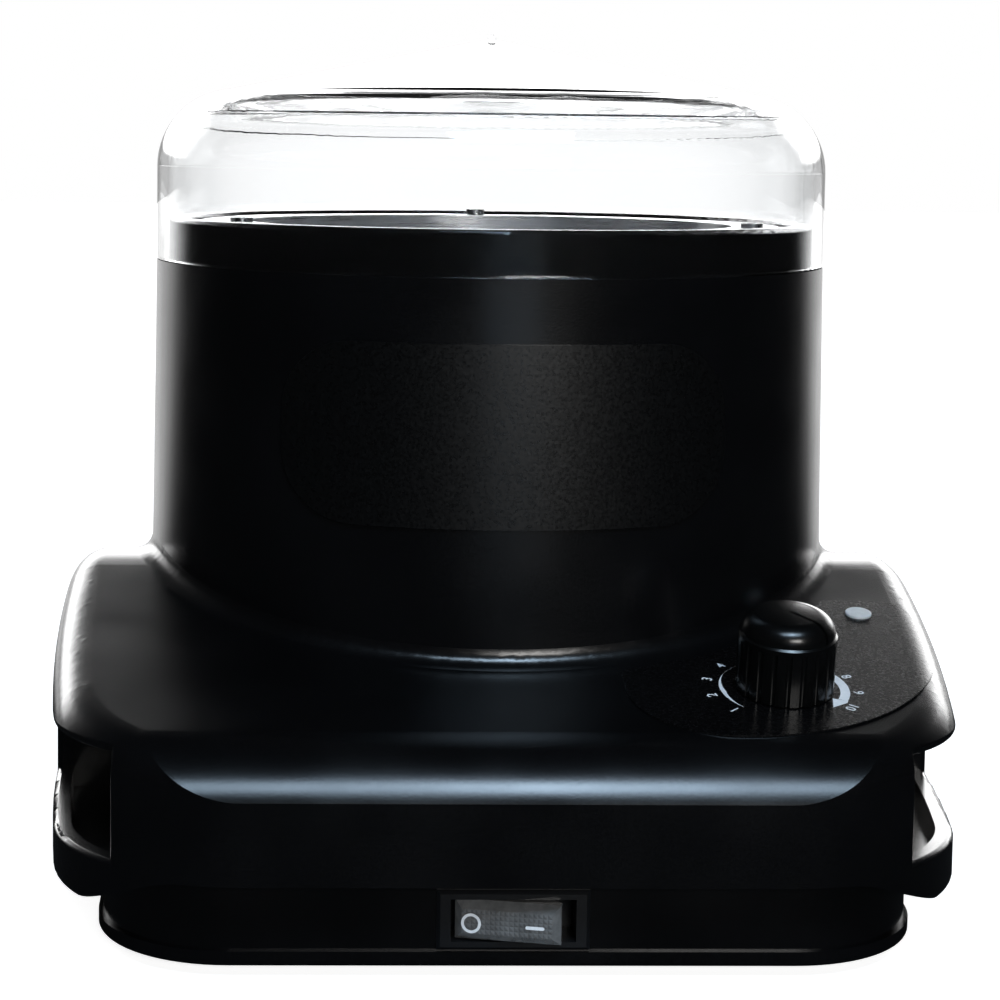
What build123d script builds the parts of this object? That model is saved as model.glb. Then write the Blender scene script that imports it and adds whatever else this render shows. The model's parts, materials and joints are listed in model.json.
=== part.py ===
from build123d import *

import os
from math import cos, hypot, radians, sin, tan

# Roll-on wax heater: a round heating drum on a low base, under a clear domed lid.
# Millimetres. X runs to the right, Y to the back and Z up. The origin lies on the
# table under the middle of the base, and the drum stands DRUM_Y behind it.

os.makedirs("parts", exist_ok=True)

# ---------------------------------------------------------------- driving sizes
# Base housing: bowed sides, a deck that slopes from a cross ridge to the front and
# back, and two finger pockets at the front corners.
BASE_HALF_WIDTH = 98.3  # at the ridge
BASE_END_HALF_WIDTH = 85.7  # where the bowed side would meet the front line
BASE_HALF_DEPTH = 108.0
BASE_CORNER_R = 40.0
SKIRT_Z = 12.5  # lower edge of the housing
RIDGE_Z = 66.5  # where the two deck planes would meet
RIDGE_R = 60.0
DECK_TILT = 11.4
EDGE_R = 8.5
SKIRT_EDGE_R = 2.0
WALL = 3.0
FRONT_SLOPE_Z = 36.8  # lower edge of the leaning front face
FRONT_SLOPE_TILT = 26.3  # its lean from upright there
FRONT_SLOPE_R = 19.8  # of its curve up onto the deck
FRONT_SLOPE_RISE = 0.02

# Drum
DRUM_REAR_MARGIN = 12.415  # from the drum's ledge to the back of the base
DRUM_DRAFT = 0.7
DRUM_LEDGE_Z = 134.0  # where the lid's skirt stands
DRUM_FILLET_R = 4.0
SPIGOT_R = 76.7
SPIGOT_TOP_Z = 144.0
SPIGOT_RIM = 4.7
RIM_EDGE_R = 1.0
DRUM_TOP_Z = 141.0

# Lid
LID_T = 2.535
LID_SHOULDER_Z = 155.9
LID_SHOULDER_R = 18.0
LID_CONE_TILT = 11.6
LID_NUB_R = 1.0
LID_NUB_HEIGHT = 1.2
LID_GAP = 0.35
LID_BEAD_R = 0.5
LID_BEAD_Z = 167.0
LID_EDGE_R = 0.5

# Finger pockets
GRIP_INNER_X = 78.0
GRIP_REAR_Y = -34.0
GRIP_FLOOR_Z = 18.5
GRIP_RIM_Z = 22.8
GRIP_ROOF_Z = 43.2
GRIP_RIM_WALL = 3.6
GRIP_CORNER_R = 6.0
GRIP_EDGE_R = 1.2

# Arch in the front skirt, through which the plinth shows, and one for the cord
ARCH_TOP_Z = 20.5
ARCH_FLAT_HALF = 68.0
ARCH_FOOT_HALF = 86.5
ARCH_R = 22.0
CORD_ARCH_HALF = 17.0
CORD_ARCH_TOP_Z = 27.0
CORD_ARCH_R = 5.0

# Plinth and base plate
PLINTH_SIDE_INSET = 13.8
PLINTH_BOW = 4.2
PLINTH_END_INSET = 8.0
PLINTH_CORNER_R = 27.0
PLINTH_WALL = 2.6
PLINTH_TOP_Z = 25.0
PLINTH_GAP = 0.3
FLANGE_T = 2.0
FLANGE_FRONT_INSET = 24.0
PLATE_Z = 2.5
PLATE_T = 3.0
PLATE_LIP = 0.9
PLATE_EDGE_R = 0.8
VENT_LENGTH = 26.0
VENT_WIDTH = 3.0
VENT_PITCH = 9.0
VENT_COUNT = 5

# Feet and screws
FOOT_R = 8.0
FOOT_SIDE_INSET = 18.5
FOOT_END_INSET = 36.0
FOOT_EDGE_R = 0.6
FOOT_PEG_R = 2.4
SCREW_FRONT_SIDE_INSET = 14.5
SCREW_FRONT_INSET = 60.0
SCREW_REAR_SIDE_INSET = 24.5
SCREW_REAR_INSET = 22.0
BOSS_R = 4.6
SCREW_R = 1.75
SCREW_LENGTH = 16.0
SCREW_HEAD_R = 3.4
SCREW_HEAD_T = 2.0
SCREW_HEAD_GAP = 0.3
RECESS_WIDTH = 0.8
RECESS_LENGTH = 3.8
RECESS_DEPTH = 1.2

# Heating well
WELL_WALL = 1.5
WELL_FLOOR_Z = 54.0
WELL_FLOOR_T = 2.0
WELL_FLOOR_EDGE_R = 1.2
WELL_FLANGE_GAP = 3.0
WELL_FLANGE_WIDTH = 11.0
WELL_FLANGE_T = 1.2
GASKET_T = 1.0
WELL_HOLE_GAP = 1.5
WELL_SCREW_R = 1.4
WELL_SCREW_EDGE = 2.8
WELL_SCREW_COUNT = 3
WELL_SCREW_HEAD_R = 2.5
WELL_SCREW_HEAD_T = 1.5
WELL_SCREW_LENGTH = 8.0
WELL_BOSS_WALL = 1.8

# Heater band, its clamp and the insulation
BAND_Z0 = 66.0
BAND_Z1 = 112.0
BAND_T = 2.2
LUG_SPACING = 8.0
LUG_T = 1.4
LUG_LENGTH = 7.5
LUG_HEIGHT = 12.0
CLAMP_SCREW_R = 1.5
CLAMP_HEAD_R = 2.9
CLAMP_HEAD_T = 2.0
CLAMP_NUT_FLATS = 5.5
CLAMP_NUT_T = 2.4
INSULATION_T = 7.0
INSULATION_GAP = 0.3
INSULATION_Z0 = 60.0
INSULATION_Z1 = 128.0
INSULATION_SLOT_ANGLE = 32.0

# Thermostat and knob: on the deck, square to it
DIAL_X = 56.5
DIAL_FRONT_INSET = 32.6
KNOB_R = 10.0
KNOB_SKIRT_TOP = 12.9
KNOB_CROWN_STEP = 0.4
KNOB_CROWN_R = 4.0
KNOB_DOME = 0.3
KNOB_FLOOR_GAP = 0.3
KNOB_HOLLOW_R = 8.6
KNOB_HOLLOW_DEPTH = 6.0
KNOB_FLUTES = 21
KNOB_FLUTE_R = 0.7
KNOB_FLUTE_TOP = 11.6
POINTER_ANGLE = -46.0
POINTER_WIDTH = 0.8
POINTER_DEPTH = 0.7
SHAFT_R = 3.0
SHAFT_FLAT = 2.1
SHAFT_RUNNING_GAP = 0.05
SHAFT_DEPTH_IN_KNOB = 7.0
SHAFT_DEPTH_IN_BODY = 6.0
BUSHING_R = 5.0
BUSHING_RISE = 4.6
BUSHING_GAP = 0.1
NUT_FLATS = 13.0
NUT_T = 2.4
THERMOSTAT_LENGTH = 34.0
THERMOSTAT_WIDTH = 30.0
THERMOSTAT_DEPTH = 17.0
THERMOSTAT_EDGE_R = 1.5
BLADE_WIDTH = 6.3
BLADE_T = 0.8
BLADE_LENGTH = 8.0
BLADE_SPACING = 16.0
BULB_R = 2.5
BULB_LENGTH = 46.0
BULB_OFFSET = -20.0
CAPILLARY_R = 0.9
CAPILLARY_INSET = 6.0
CAPILLARY_REACH = 21.0
CAPILLARY_FALL = 35.0
CAPILLARY_BENDS = (14.0, 30.0)

# Indicator
LAMP_BEARING = 56.0  # from the front, about the drum's axis
LAMP_DRUM_GAP = 16.8
LENS_R = 2.9
LENS_RISE = 0.8
LENS_EDGE_R = 0.3
LENS_STEM_R = 2.2
LENS_GAP = 0.1
LAMP_R = 3.2
LAMP_LENGTH = 7.5

# Trims
LABEL_T = 0.3
LABEL_DRUM_GAP = 6.9
LABEL_FRONT_INSET = 11.4
LABEL_LAMP_MARGIN = 7.4
LABEL_LEFT_X = 24.0
LABEL_RIGHT_X = 91.8
LABEL_FRONT_RIGHT_R = 45.0
LABEL_FRONT_LEFT_R = 20.0
LABEL_REAR_RIGHT_R = 8.0
LABEL_TIP_R = 2.5
PLAQUE_T = 0.6
PLAQUE_HALF_WIDTH = 47.4
PLAQUE_HEIGHT = 38.6
PLAQUE_Z = 101.1
PLAQUE_CORNER_R = 15.0

# Rocker switch in the plinth's face
SWITCH_Z = 11.7
BEZEL_WIDTH = 29.8
BEZEL_HEIGHT = 11.9
BEZEL_T = 1.0
BEZEL_CORNER_R = 0.7
SWITCH_BODY_WIDTH = 27.0
SWITCH_BODY_HEIGHT = 10.2
SWITCH_BODY_DEPTH = 19.0
OPENING_WIDTH = 24.4
OPENING_HEIGHT = 8.4
OPENING_DEPTH = 9.0
ROCKER_WIDTH = 20.8
ROCKER_GAP = 0.25
ROCKER_BEVEL = 1.5
ROCKER_END_T = 2.6
ROCKER_BACK_HALF = 4.5
ROCKER_BACK_REACH = 1.8
ROCKER_REST_TILT = 12.0
ROCKER_PIVOT_DEPTH = 5.0
ROCKER_REACH = 6.85
PIVOT_R = 1.0
PIVOT_GAP = 0.05
PIVOT_ENGAGEMENT = 0.6
TAB_WIDTH = 4.8
TAB_T = 0.8
TAB_LENGTH = 7.0
TAB_PITCH = 8.0
TAB_COUNT = 3

# Mains parts
GLAND_Z = 14.5
GLAND_R = 6.0
GLAND_HEX = 15.0
GLAND_HEX_T = 4.0
GLAND_NOSE_R = 5.4
GLAND_NOSE = 3.2
GLAND_BORE_R = 3.6
GLAND_NUT_T = 3.5
GLAND_TAIL = 8.0
BLOCK_LENGTH = 30.0
BLOCK_WIDTH = 17.0
BLOCK_HEIGHT = 13.0
BLOCK_GLAND_GAP = 10.9
BLOCK_POLES = 3
BLOCK_BORE_R = 1.9
BLOCK_SCREW_R = 1.6
BLOCK_SCREW_LENGTH = 4.0
BLOCK_EDGE_R = 0.6
FUSE_R = 2.0
FUSE_LENGTH = 13.0
FUSE_OFFSET = 14.0
CLIP_T = 0.8
CLIP_WIDTH = 7.0
CLIP_WING = 6.0
EARTH_X = -34.0
EARTH_OFFSET = 18.0
EARTH_R = 2.0
EARTH_LENGTH = 7.0
EARTH_NUT_FLATS = 7.0
EARTH_NUT_T = 3.2

# Cartridge rack
RACK_GAP = 1.2
RACK_T = 1.5
RACK_TOP_Z = 128.0
RACK_EDGE_R = 0.5
SLOT_LENGTH = 50.0
SLOT_WIDTH = 29.0
SLOT_PITCH = 31.5
SLOT_EDGE = 4.4
SLOT_CORNER_R = 5.0
RACK_POST_R = 2.2
RACK_POST_SIDE_INSET = 6.8
RACK_POST_END_INSET = 14.8
RACK_KNOB_R = 4.0
RACK_KNOB_HEIGHT = 7.0
RACK_KNOB_EDGE_R = 1.0

# ------------------------------------------------------------- derived places
TILT = radians(DECK_TILT)
LEAN = radians(FRONT_SLOPE_TILT)
LID_INNER_R = SPIGOT_R + LID_GAP
LID_R = LID_INNER_R + LID_T  # and the drum's, at its ledge
DRUM_Y = BASE_HALF_DEPTH - DRUM_REAR_MARGIN - LID_R
PLINTH_HALF_WIDTH = BASE_HALF_WIDTH - PLINTH_SIDE_INSET
PLINTH_END_HALF_WIDTH = PLINTH_HALF_WIDTH - PLINTH_BOW
PLINTH_HALF_DEPTH = BASE_HALF_DEPTH - PLINTH_END_INSET
FLANGE_FRONT_Y = FLANGE_FRONT_INSET - BASE_HALF_DEPTH
FOOT_X = PLINTH_HALF_WIDTH - FOOT_SIDE_INSET
FOOT_Y = PLINTH_HALF_DEPTH - FOOT_END_INSET
SCREW_PLACES = [
    (side * (PLINTH_HALF_WIDTH - side_inset), y)
    for side in (-1, 1)
    for side_inset, y in (
        (SCREW_FRONT_SIDE_INSET, SCREW_FRONT_INSET - PLINTH_HALF_DEPTH),
        (SCREW_REAR_SIDE_INSET, PLINTH_HALF_DEPTH - SCREW_REAR_INSET),
    )
]
WELL_FLANGE_R = SPIGOT_R - SPIGOT_RIM - WELL_FLANGE_GAP
WELL_R = WELL_FLANGE_R - WELL_FLANGE_WIDTH
WELL_SCREW_PITCH_R = WELL_FLANGE_R - WELL_SCREW_EDGE
DIAL_Y = DIAL_FRONT_INSET - BASE_HALF_DEPTH
LAMP_X = (LID_R + LAMP_DRUM_GAP) * sin(radians(LAMP_BEARING))
LAMP_Y = DRUM_Y - (LID_R + LAMP_DRUM_GAP) * cos(radians(LAMP_BEARING))
LABEL_INNER_R = LID_R + LABEL_DRUM_GAP
LABEL_FRONT_Y = LABEL_FRONT_INSET - BASE_HALF_DEPTH
LABEL_REAR_Y = LAMP_Y + LABEL_LAMP_MARGIN
RACK_R = WELL_R - RACK_GAP
RACK_POST_X = RACK_R - RACK_POST_SIDE_INSET
RACK_POST_Y = RACK_R - RACK_POST_END_INSET
PLATE_TOP_Z = PLATE_Z + PLATE_T
WELL_FLOOR_TOP_Z = WELL_FLOOR_Z + WELL_FLOOR_T
WELL_OUTER_R = WELL_R + WELL_WALL
WELL_HOLE_R = WELL_OUTER_R + WELL_HOLE_GAP
FLANGE_Z = DRUM_TOP_Z + GASKET_T
FLANGE_TOP_Z = FLANGE_Z + WELL_FLANGE_T
GRIP_BLOCK_Z = GRIP_FLOOR_Z - WALL
BEZEL_Y = -PLINTH_HALF_DEPTH - BEZEL_T
ROCKER_HEIGHT = OPENING_HEIGHT - 2 * ROCKER_GAP
FAR = 3 * BASE_HALF_DEPTH


def deck_z(y, drop=0.0):
    """Height of the deck's plane at y, drop below its surface."""
    return RIDGE_Z - abs(y) * tan(TILT) - drop / cos(TILT)


def front_z(y, drop=0.0):
    """Height of the leaning front face's plane at y, drop behind its surface."""
    return FRONT_SLOPE_Z + (y + BASE_HALF_DEPTH - drop / cos(LEAN)) / tan(LEAN)


def drum_radius(z):
    """Radius of the drum's outer wall, which widens downwards with its draft."""
    return LID_R + (DRUM_LEDGE_Z - z) * tan(radians(DRUM_DRAFT))


def deck_plane(x, y):
    """A plane on the front deck at x and y, its normal square to the deck."""
    return Plane(origin=(x, y, deck_z(y)), x_dir=(1, 0, 0), z_dir=(0, -sin(TILT), cos(TILT)))


DIAL = deck_plane(DIAL_X, DIAL_Y)
LAMP = deck_plane(LAMP_X, LAMP_Y)


def plan_outline(half_width, end_half_width, half_depth, corner_r, inset=0.0):
    """A rectangle with bowed sides and round corners, drawn in by inset."""
    with BuildSketch() as outline:
        with BuildLine():
            ThreePointArc(
                (end_half_width, -half_depth), (half_width, 0), (end_half_width, half_depth)
            )
            Line((end_half_width, half_depth), (-end_half_width, half_depth))
            ThreePointArc(
                (-end_half_width, half_depth), (-half_width, 0), (-end_half_width, -half_depth)
            )
            Line((-end_half_width, -half_depth), (end_half_width, -half_depth))
        make_face()
        fillet(outline.vertices(), corner_r)
        if inset:
            offset(amount=-inset, kind=Kind.INTERSECTION, mode=Mode.REPLACE)
    return outline.sketch


def base_outline(inset=0.0):
    return plan_outline(
        BASE_HALF_WIDTH, BASE_END_HALF_WIDTH, BASE_HALF_DEPTH, BASE_CORNER_R, inset
    )


def plinth_outline(inset=0.0):
    return plan_outline(
        PLINTH_HALF_WIDTH, PLINTH_END_HALF_WIDTH, PLINTH_HALF_DEPTH, PLINTH_CORNER_R, inset
    )


def prism(face, z0, z1):
    """A plan face raised from z0 to z1."""
    with BuildPart() as body:
        with BuildSketch(Plane.XY.offset(z0)):
            add(face)
        extrude(amount=z1 - z0)
    return body.part


def turned(*points):
    """A solid of revolution about Z from the (radius, height) points of its section."""
    with BuildPart() as body:
        with BuildSketch(Plane.XZ):
            with BuildLine():
                Polyline(*points, close=True)
            make_face()
        revolve(axis=Axis.Z)
    return body.part


def rod(radius, z0, z1):
    return turned((0, z0), (radius, z0), (radius, z1), (0, z1))


def ring(inner, outer, z0, z1):
    return turned((inner, z0), (outer, z0), (outer, z1), (inner, z1))


def cross(z0, z1):
    """The cross recess of a screw's head, about Z."""
    half, side = RECESS_LENGTH / 2, RECESS_WIDTH / 2
    return block(-half, half, -side, side, z0, z1) + block(-side, side, -half, half, z0, z1)


def block(x0, x1, y0, y1, z0, z1):
    with BuildPart() as body:
        with Locations(((x0 + x1) / 2, (y0 + y1) / 2, (z0 + z1) / 2)):
            Box(x1 - x0, y1 - y0, z1 - z0)
    return body.part


def hexagon(flats, z0, z1):
    """A hexagonal prism about Z with two of its flats facing along Y."""
    with BuildPart() as body:
        with BuildSketch(Plane.XY.offset(z0)):
            RegularPolygon(flats / 2, 6, major_radius=False, rotation=30)
        extrude(amount=z1 - z0)
    return body.part


def at(part, x, y, z=0.0):
    return part.moved(Location((x, y, z)))


def on_drum(part, radius=0.0, angle=0.0):
    """A piece built about Z, moved out to radius at angle about the drum's axis."""
    x, y = radius * cos(radians(angle)), radius * sin(radians(angle))
    return part.moved(Location((x, DRUM_Y + y, 0), (0, 0, angle if radius else 0)))


def facing(part, x, y, z):
    """A piece built about Z, its +Z turned to face the back (+Y)."""
    return part.moved(Location((x, y, z), (-90, 0, 0)))


def along_x(part, x, y, z):
    """A piece built about Z, its +Z turned to the right (+X)."""
    return part.moved(Location((x, y, z), (0, 90, 0)))


def base_body(inset, floor_z, edge_r, foot_r=0.0):
    """The base as one solid, its sides and deck drawn in by inset."""
    reach = BASE_HALF_DEPTH + BASE_CORNER_R
    with BuildPart() as body:
        with BuildSketch(Plane.XY.offset(floor_z)):
            add(base_outline(inset))
        extrude(amount=RIDGE_Z + BASE_CORNER_R)
        with BuildSketch(Plane.YZ) as roof:
            with BuildLine():
                Polyline(
                    (-reach, -reach),
                    (-reach, deck_z(reach, inset)),
                    (0, deck_z(0, inset)),
                    (reach, deck_z(reach, inset)),
                    (reach, -reach),
                    close=True,
                )
            make_face()
            fillet(roof.vertices().sort_by(Axis.Y)[-1], RIDGE_R)
        extrude(amount=FAR, both=True, mode=Mode.INTERSECT)
        eaves = deck_z(BASE_HALF_DEPTH) - 2 * WALL
        rim = [e for e in body.edges() if (e @ 0.5).Z > eaves and not is_ridge(e, inset)]
        fillet(rim, edge_r)
        if foot_r:
            fillet(body.faces().sort_by(Axis.Z)[0].edges(), foot_r)
    return body.part


def is_ridge(edge, inset):
    """True for the edges inside the roof, where its rounded ridge meets its planes,
    and for the upright edges at the corners."""
    middle, way = edge @ 0.5, edge % 0.5
    return abs(way.Z) > 0.9 or (abs(way.X) > 0.99 and abs(middle.Y) < BASE_HALF_DEPTH / 2)


def front_wedge(drop=0.0):
    """What lies before the leaning front face, drawn in by drop. Its rounded rear edge
    comes up to FRONT_SLOPE_RISE over the deck, so it leaves the deck's plane alone."""
    reach = BASE_HALF_DEPTH + BASE_CORNER_R
    rear = BASE_CORNER_R / 2 - BASE_HALF_DEPTH
    rise = deck_z(0, drop) + FRONT_SLOPE_RISE
    crest_y = (rise - front_z(0, drop)) / (1 / tan(LEAN) - tan(TILT))
    crest = (crest_y, front_z(crest_y, drop))
    with BuildPart() as wedge:
        with BuildSketch(Plane.YZ) as side:
            with BuildLine():
                Polyline(
                    (-reach, front_z(-reach, drop)),
                    crest,
                    (rear, deck_z(rear, drop) + FRONT_SLOPE_RISE),
                    (rear, FAR),
                    (-reach, FAR),
                    close=True,
                )
            make_face()
            fillet(side.vertices().sort_by_distance((*crest, 0))[0], FRONT_SLOPE_R - drop)
        extrude(amount=FAR, both=True)
    return wedge.part


def drum_body(grow, floor_z, ceiling_z):
    """The drum's tapered wall as a solid, its radius grown by grow."""
    body = turned(
        (0, floor_z),
        (drum_radius(floor_z) + grow, floor_z),
        (drum_radius(ceiling_z) + grow, ceiling_z),
        (0, ceiling_z),
    )
    return on_drum(body)


def grip_prism(side, grow, z0, z1):
    """A finger pocket's plan, open at the front and side, between two heights."""
    rear, inner = GRIP_REAR_Y + grow, GRIP_INNER_X - grow
    front, outer = -BASE_HALF_DEPTH - BASE_CORNER_R, BASE_HALF_WIDTH + BASE_CORNER_R
    with BuildPart() as room:
        with BuildSketch(Plane.XY.offset(z0)):
            with Locations((side * (inner + outer) / 2, (front + rear) / 2)):
                RectangleRounded(outer - inner, rear - front, GRIP_CORNER_R + grow)
        extrude(amount=z1 - z0)
    return room.part


def strap(radius, y):
    """A spot-welded strap that holds a rod of this radius up to the well's floor."""
    top = WELL_FLOOR_Z
    wing = radius + CLIP_T + CLIP_WING
    with BuildPart() as body:
        with BuildSketch(Plane.YZ.offset(-CLIP_WIDTH / 2)):
            with Locations((y, top - radius)):
                Circle(radius + CLIP_T)
            with Locations((y, top - radius / 2)):
                Rectangle(2 * (radius + CLIP_T), radius)
            with Locations((y, top - CLIP_T / 2)):
                Rectangle(2 * wing, CLIP_T)
            with Locations((y, top - radius)):
                Circle(radius, mode=Mode.SUBTRACT)
            with Locations((y, top - radius / 2)):
                Rectangle(2 * radius, radius, mode=Mode.SUBTRACT)
            with Locations((y, top + radius)):
                Rectangle(2 * wing, 2 * radius, mode=Mode.SUBTRACT)
        extrude(amount=CLIP_WIDTH)
    return body.part


def save(builder, name):
    """Labels a finished piece and writes it."""
    builder.part.label = name
    export_step(builder.part, f"parts/{name}.step")


# -------------------------------------------------------------- upper housing
# One moulding: the base's shell with its deck, the drum and the lid's seat.
housing_outer = base_body(0, SKIRT_Z, EDGE_R, SKIRT_EDGE_R)
drum_outer = drum_body(0, deck_z(BASE_HALF_DEPTH) - WALL, DRUM_LEDGE_Z)
well_screw_angles = [90 + 360 / WELL_SCREW_COUNT * i for i in range(WELL_SCREW_COUNT)]

with BuildPart() as cavity:
    add(base_body(WALL, 0, EDGE_R - WALL))
    add(front_wedge(WALL), mode=Mode.SUBTRACT)
    for side in (-1, 1):
        add(grip_prism(side, WALL, GRIP_BLOCK_Z, GRIP_ROOF_Z + WALL), mode=Mode.SUBTRACT)
    add(drum_body(-WALL, 0, DRUM_LEDGE_Z - WALL))
    add(on_drum(rod(SPIGOT_R - WALL, 0, DRUM_TOP_Z - WALL)))

arch_slope = (ARCH_TOP_Z - SKIRT_Z) / (ARCH_FOOT_HALF - ARCH_FLAT_HALF)
arch_end_half = ARCH_FOOT_HALF + SKIRT_Z / arch_slope

with BuildPart() as front_arch:
    with BuildSketch(Plane.XZ) as arch_face:
        with BuildLine():
            Polyline(
                (-arch_end_half, 0),
                (-ARCH_FLAT_HALF, ARCH_TOP_Z),
                (ARCH_FLAT_HALF, ARCH_TOP_Z),
                (arch_end_half, 0),
                close=True,
            )
        make_face()
        fillet(arch_face.vertices().group_by(Axis.Y)[-1], ARCH_R)
    extrude(amount=FAR)

with BuildPart() as cord_arch:
    with BuildSketch(Plane.XZ) as cord_face:
        with Locations((0, CORD_ARCH_TOP_Z / 2)):
            Rectangle(2 * CORD_ARCH_HALF, CORD_ARCH_TOP_Z)
        fillet(cord_face.vertices().group_by(Axis.Y)[-1], CORD_ARCH_R)
    extrude(amount=-FAR)

with BuildPart() as spigot:
    add(rod(SPIGOT_R, DRUM_LEDGE_Z, SPIGOT_TOP_Z))
    add(rod(SPIGOT_R - SPIGOT_RIM, DRUM_TOP_Z, FAR), mode=Mode.SUBTRACT)
    fillet(spigot.faces().sort_by(Axis.Z)[-1].edges(), RIM_EDGE_R)

with BuildPart() as upper_housing:
    add(housing_outer)
    add(drum_outer)
    junction = [
        e
        for e in upper_housing.edges()
        if (e @ 0.5).Z > deck_z(BASE_HALF_DEPTH)
        and all(
            abs(hypot((e @ t).X, (e @ t).Y - DRUM_Y) - drum_radius((e @ t).Z)) < 0.01
            for t in (0.1, 0.5, 0.9)
        )
        and (e @ 0.5).Z < RIDGE_Z
    ]
    fillet(junction, DRUM_FILLET_R)
    add(on_drum(spigot.part))
    outline = base_outline().faces()[0].outer_wire()
    for side in (-1, 1):
        add(grip_prism(side, 0, GRIP_RIM_Z, GRIP_ROOF_Z), mode=Mode.SUBTRACT)
    mouth = [
        e
        for e in upper_housing.edges()
        if GRIP_RIM_Z - 0.01 < (e @ 0.5).Z < GRIP_ROOF_Z + 0.01
        and (e @ 0.5).Y < GRIP_REAR_Y + 0.01
        and abs((e @ 0.5).X) > GRIP_INNER_X - 0.01
        and all(
            outline.distance_to(Vector((e @ t).X, (e @ t).Y, 0)) < 0.01 for t in (0.1, 0.5, 0.9)
        )
    ]
    fillet(mouth, GRIP_EDGE_R)
    for side in (-1, 1):
        with BuildPart(mode=Mode.SUBTRACT):
            add(grip_prism(side, 0, GRIP_FLOOR_Z, GRIP_RIM_Z + GRIP_EDGE_R))
            add(
                prism(base_outline(GRIP_RIM_WALL), GRIP_FLOOR_Z, GRIP_ROOF_Z),
                mode=Mode.INTERSECT,
            )
    add(front_wedge(), mode=Mode.SUBTRACT)
    add(cavity.part, mode=Mode.SUBTRACT)
    add(front_arch.part, mode=Mode.SUBTRACT)
    add(cord_arch.part, mode=Mode.SUBTRACT)
    for x, y in SCREW_PLACES:
        add(at(rod(BOSS_R, PLATE_TOP_Z, deck_z(y) - WALL / 2), x, y))
        add(
            at(rod(SCREW_R, 0, PLATE_Z + SCREW_HEAD_T + SCREW_LENGTH), x, y),
            mode=Mode.SUBTRACT,
        )
    for angle in well_screw_angles:
        boss = rod(
            WELL_SCREW_R + WELL_BOSS_WALL,
            FLANGE_TOP_Z - WELL_SCREW_LENGTH - WELL_BOSS_WALL / 2,
            DRUM_TOP_Z - WALL / 2,
        )
        add(on_drum(boss, WELL_SCREW_PITCH_R, angle))
        add(
            on_drum(
                rod(WELL_SCREW_R, FLANGE_TOP_Z - WELL_SCREW_LENGTH, FAR),
                WELL_SCREW_PITCH_R,
                angle,
            ),
            mode=Mode.SUBTRACT,
        )
    add(on_drum(rod(WELL_HOLE_R, DRUM_TOP_Z - 2 * WALL, FAR)), mode=Mode.SUBTRACT)
    add(rod(BUSHING_R + BUSHING_GAP, -2 * WALL, WALL).moved(DIAL.location), mode=Mode.SUBTRACT)
    add(rod(LENS_STEM_R, -2 * WALL, WALL).moved(LAMP.location), mode=Mode.SUBTRACT)
save(upper_housing, "upper_housing")

# ------------------------------------------------------------------------ lid
with BuildPart() as lid_blank:
    with BuildSketch(Plane.XZ):
        with BuildLine():
            shoulder = (LID_R - LID_SHOULDER_R, LID_SHOULDER_Z)
            cone = radians(LID_CONE_TILT)
            section = []
            for radius in (LID_R, LID_INNER_R):
                bend = radius - shoulder[0]
                top = (shoulder[0] + bend * sin(cone), shoulder[1] + bend * cos(cone))
                turn = radians(45 + LID_CONE_TILT / 2)
                middle = (shoulder[0] + bend * sin(turn), shoulder[1] + bend * cos(turn))
                tip = (0, top[1] + top[0] * tan(cone))
                section.append((radius, middle, top, tip))
            (r0, middle0, top0, tip0), (r1, middle1, top1, tip1) = section
            Line((r1, DRUM_LEDGE_Z), (r0, DRUM_LEDGE_Z))
            Line((r0, DRUM_LEDGE_Z), (r0, LID_SHOULDER_Z))
            ThreePointArc((r0, LID_SHOULDER_Z), middle0, top0)
            Line(top0, tip0)
            Line(tip0, tip1)
            Line(tip1, top1)
            ThreePointArc(top1, middle1, (r1, LID_SHOULDER_Z))
            Line((r1, LID_SHOULDER_Z), (r1, DRUM_LEDGE_Z))
        make_face()
    revolve(axis=Axis.Z)
    foot = [e for e in lid_blank.edges() if abs((e @ 0.5).Z - DRUM_LEDGE_Z) < 0.01]
    fillet(foot, LID_EDGE_R)
    add(rod(LID_NUB_R, (tip0[1] + tip1[1]) / 2, tip0[1] + LID_NUB_HEIGHT))
    nub_top = lid_blank.faces().sort_by(Axis.Z)[-1]
    fillet(nub_top.edges(), LID_NUB_R / 2)
    bead_rise = LID_BEAD_Z - LID_SHOULDER_Z
    bead_r = shoulder[0] + ((r1 - shoulder[0]) ** 2 - bead_rise**2) ** 0.5
    with BuildSketch(Plane.XZ):
        with Locations((bead_r, LID_BEAD_Z)):
            Circle(LID_BEAD_R)
    revolve(axis=Axis.Z)

with BuildPart() as lid:
    add(on_drum(lid_blank.part))
save(lid, "lid")

# ------------------------------------------------------- plinth and base plate
with BuildPart() as plinth:
    add(prism(plinth_outline(), PLATE_TOP_Z, PLINTH_TOP_Z))
    with BuildPart(mode=Mode.ADD):
        flange_top = GRIP_BLOCK_Z - PLINTH_GAP
        add(prism(base_outline(WALL + PLINTH_GAP), flange_top - FLANGE_T, flange_top))
        add(
            block(-FAR, FAR, -FAR, FLANGE_FRONT_Y, 0, PLINTH_TOP_Z),
            mode=Mode.SUBTRACT,
        )
        add(cord_arch.part, mode=Mode.SUBTRACT)
    add(prism(plinth_outline(PLINTH_WALL), 0, FAR), mode=Mode.SUBTRACT)
    for side in (-1, 1):
        add(
            grip_prism(side, WALL + PLINTH_GAP, GRIP_BLOCK_Z - PLINTH_GAP, FAR),
            mode=Mode.SUBTRACT,
        )
    add(
        block(
            -SWITCH_BODY_WIDTH / 2,
            SWITCH_BODY_WIDTH / 2,
            -FAR,
            0,
            SWITCH_Z - SWITCH_BODY_HEIGHT / 2,
            SWITCH_Z + SWITCH_BODY_HEIGHT / 2,
        ),
        mode=Mode.SUBTRACT,
    )
    add(facing(rod(GLAND_R, 0, FAR), 0, 0, GLAND_Z), mode=Mode.SUBTRACT)
save(plinth, "plinth")

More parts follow.
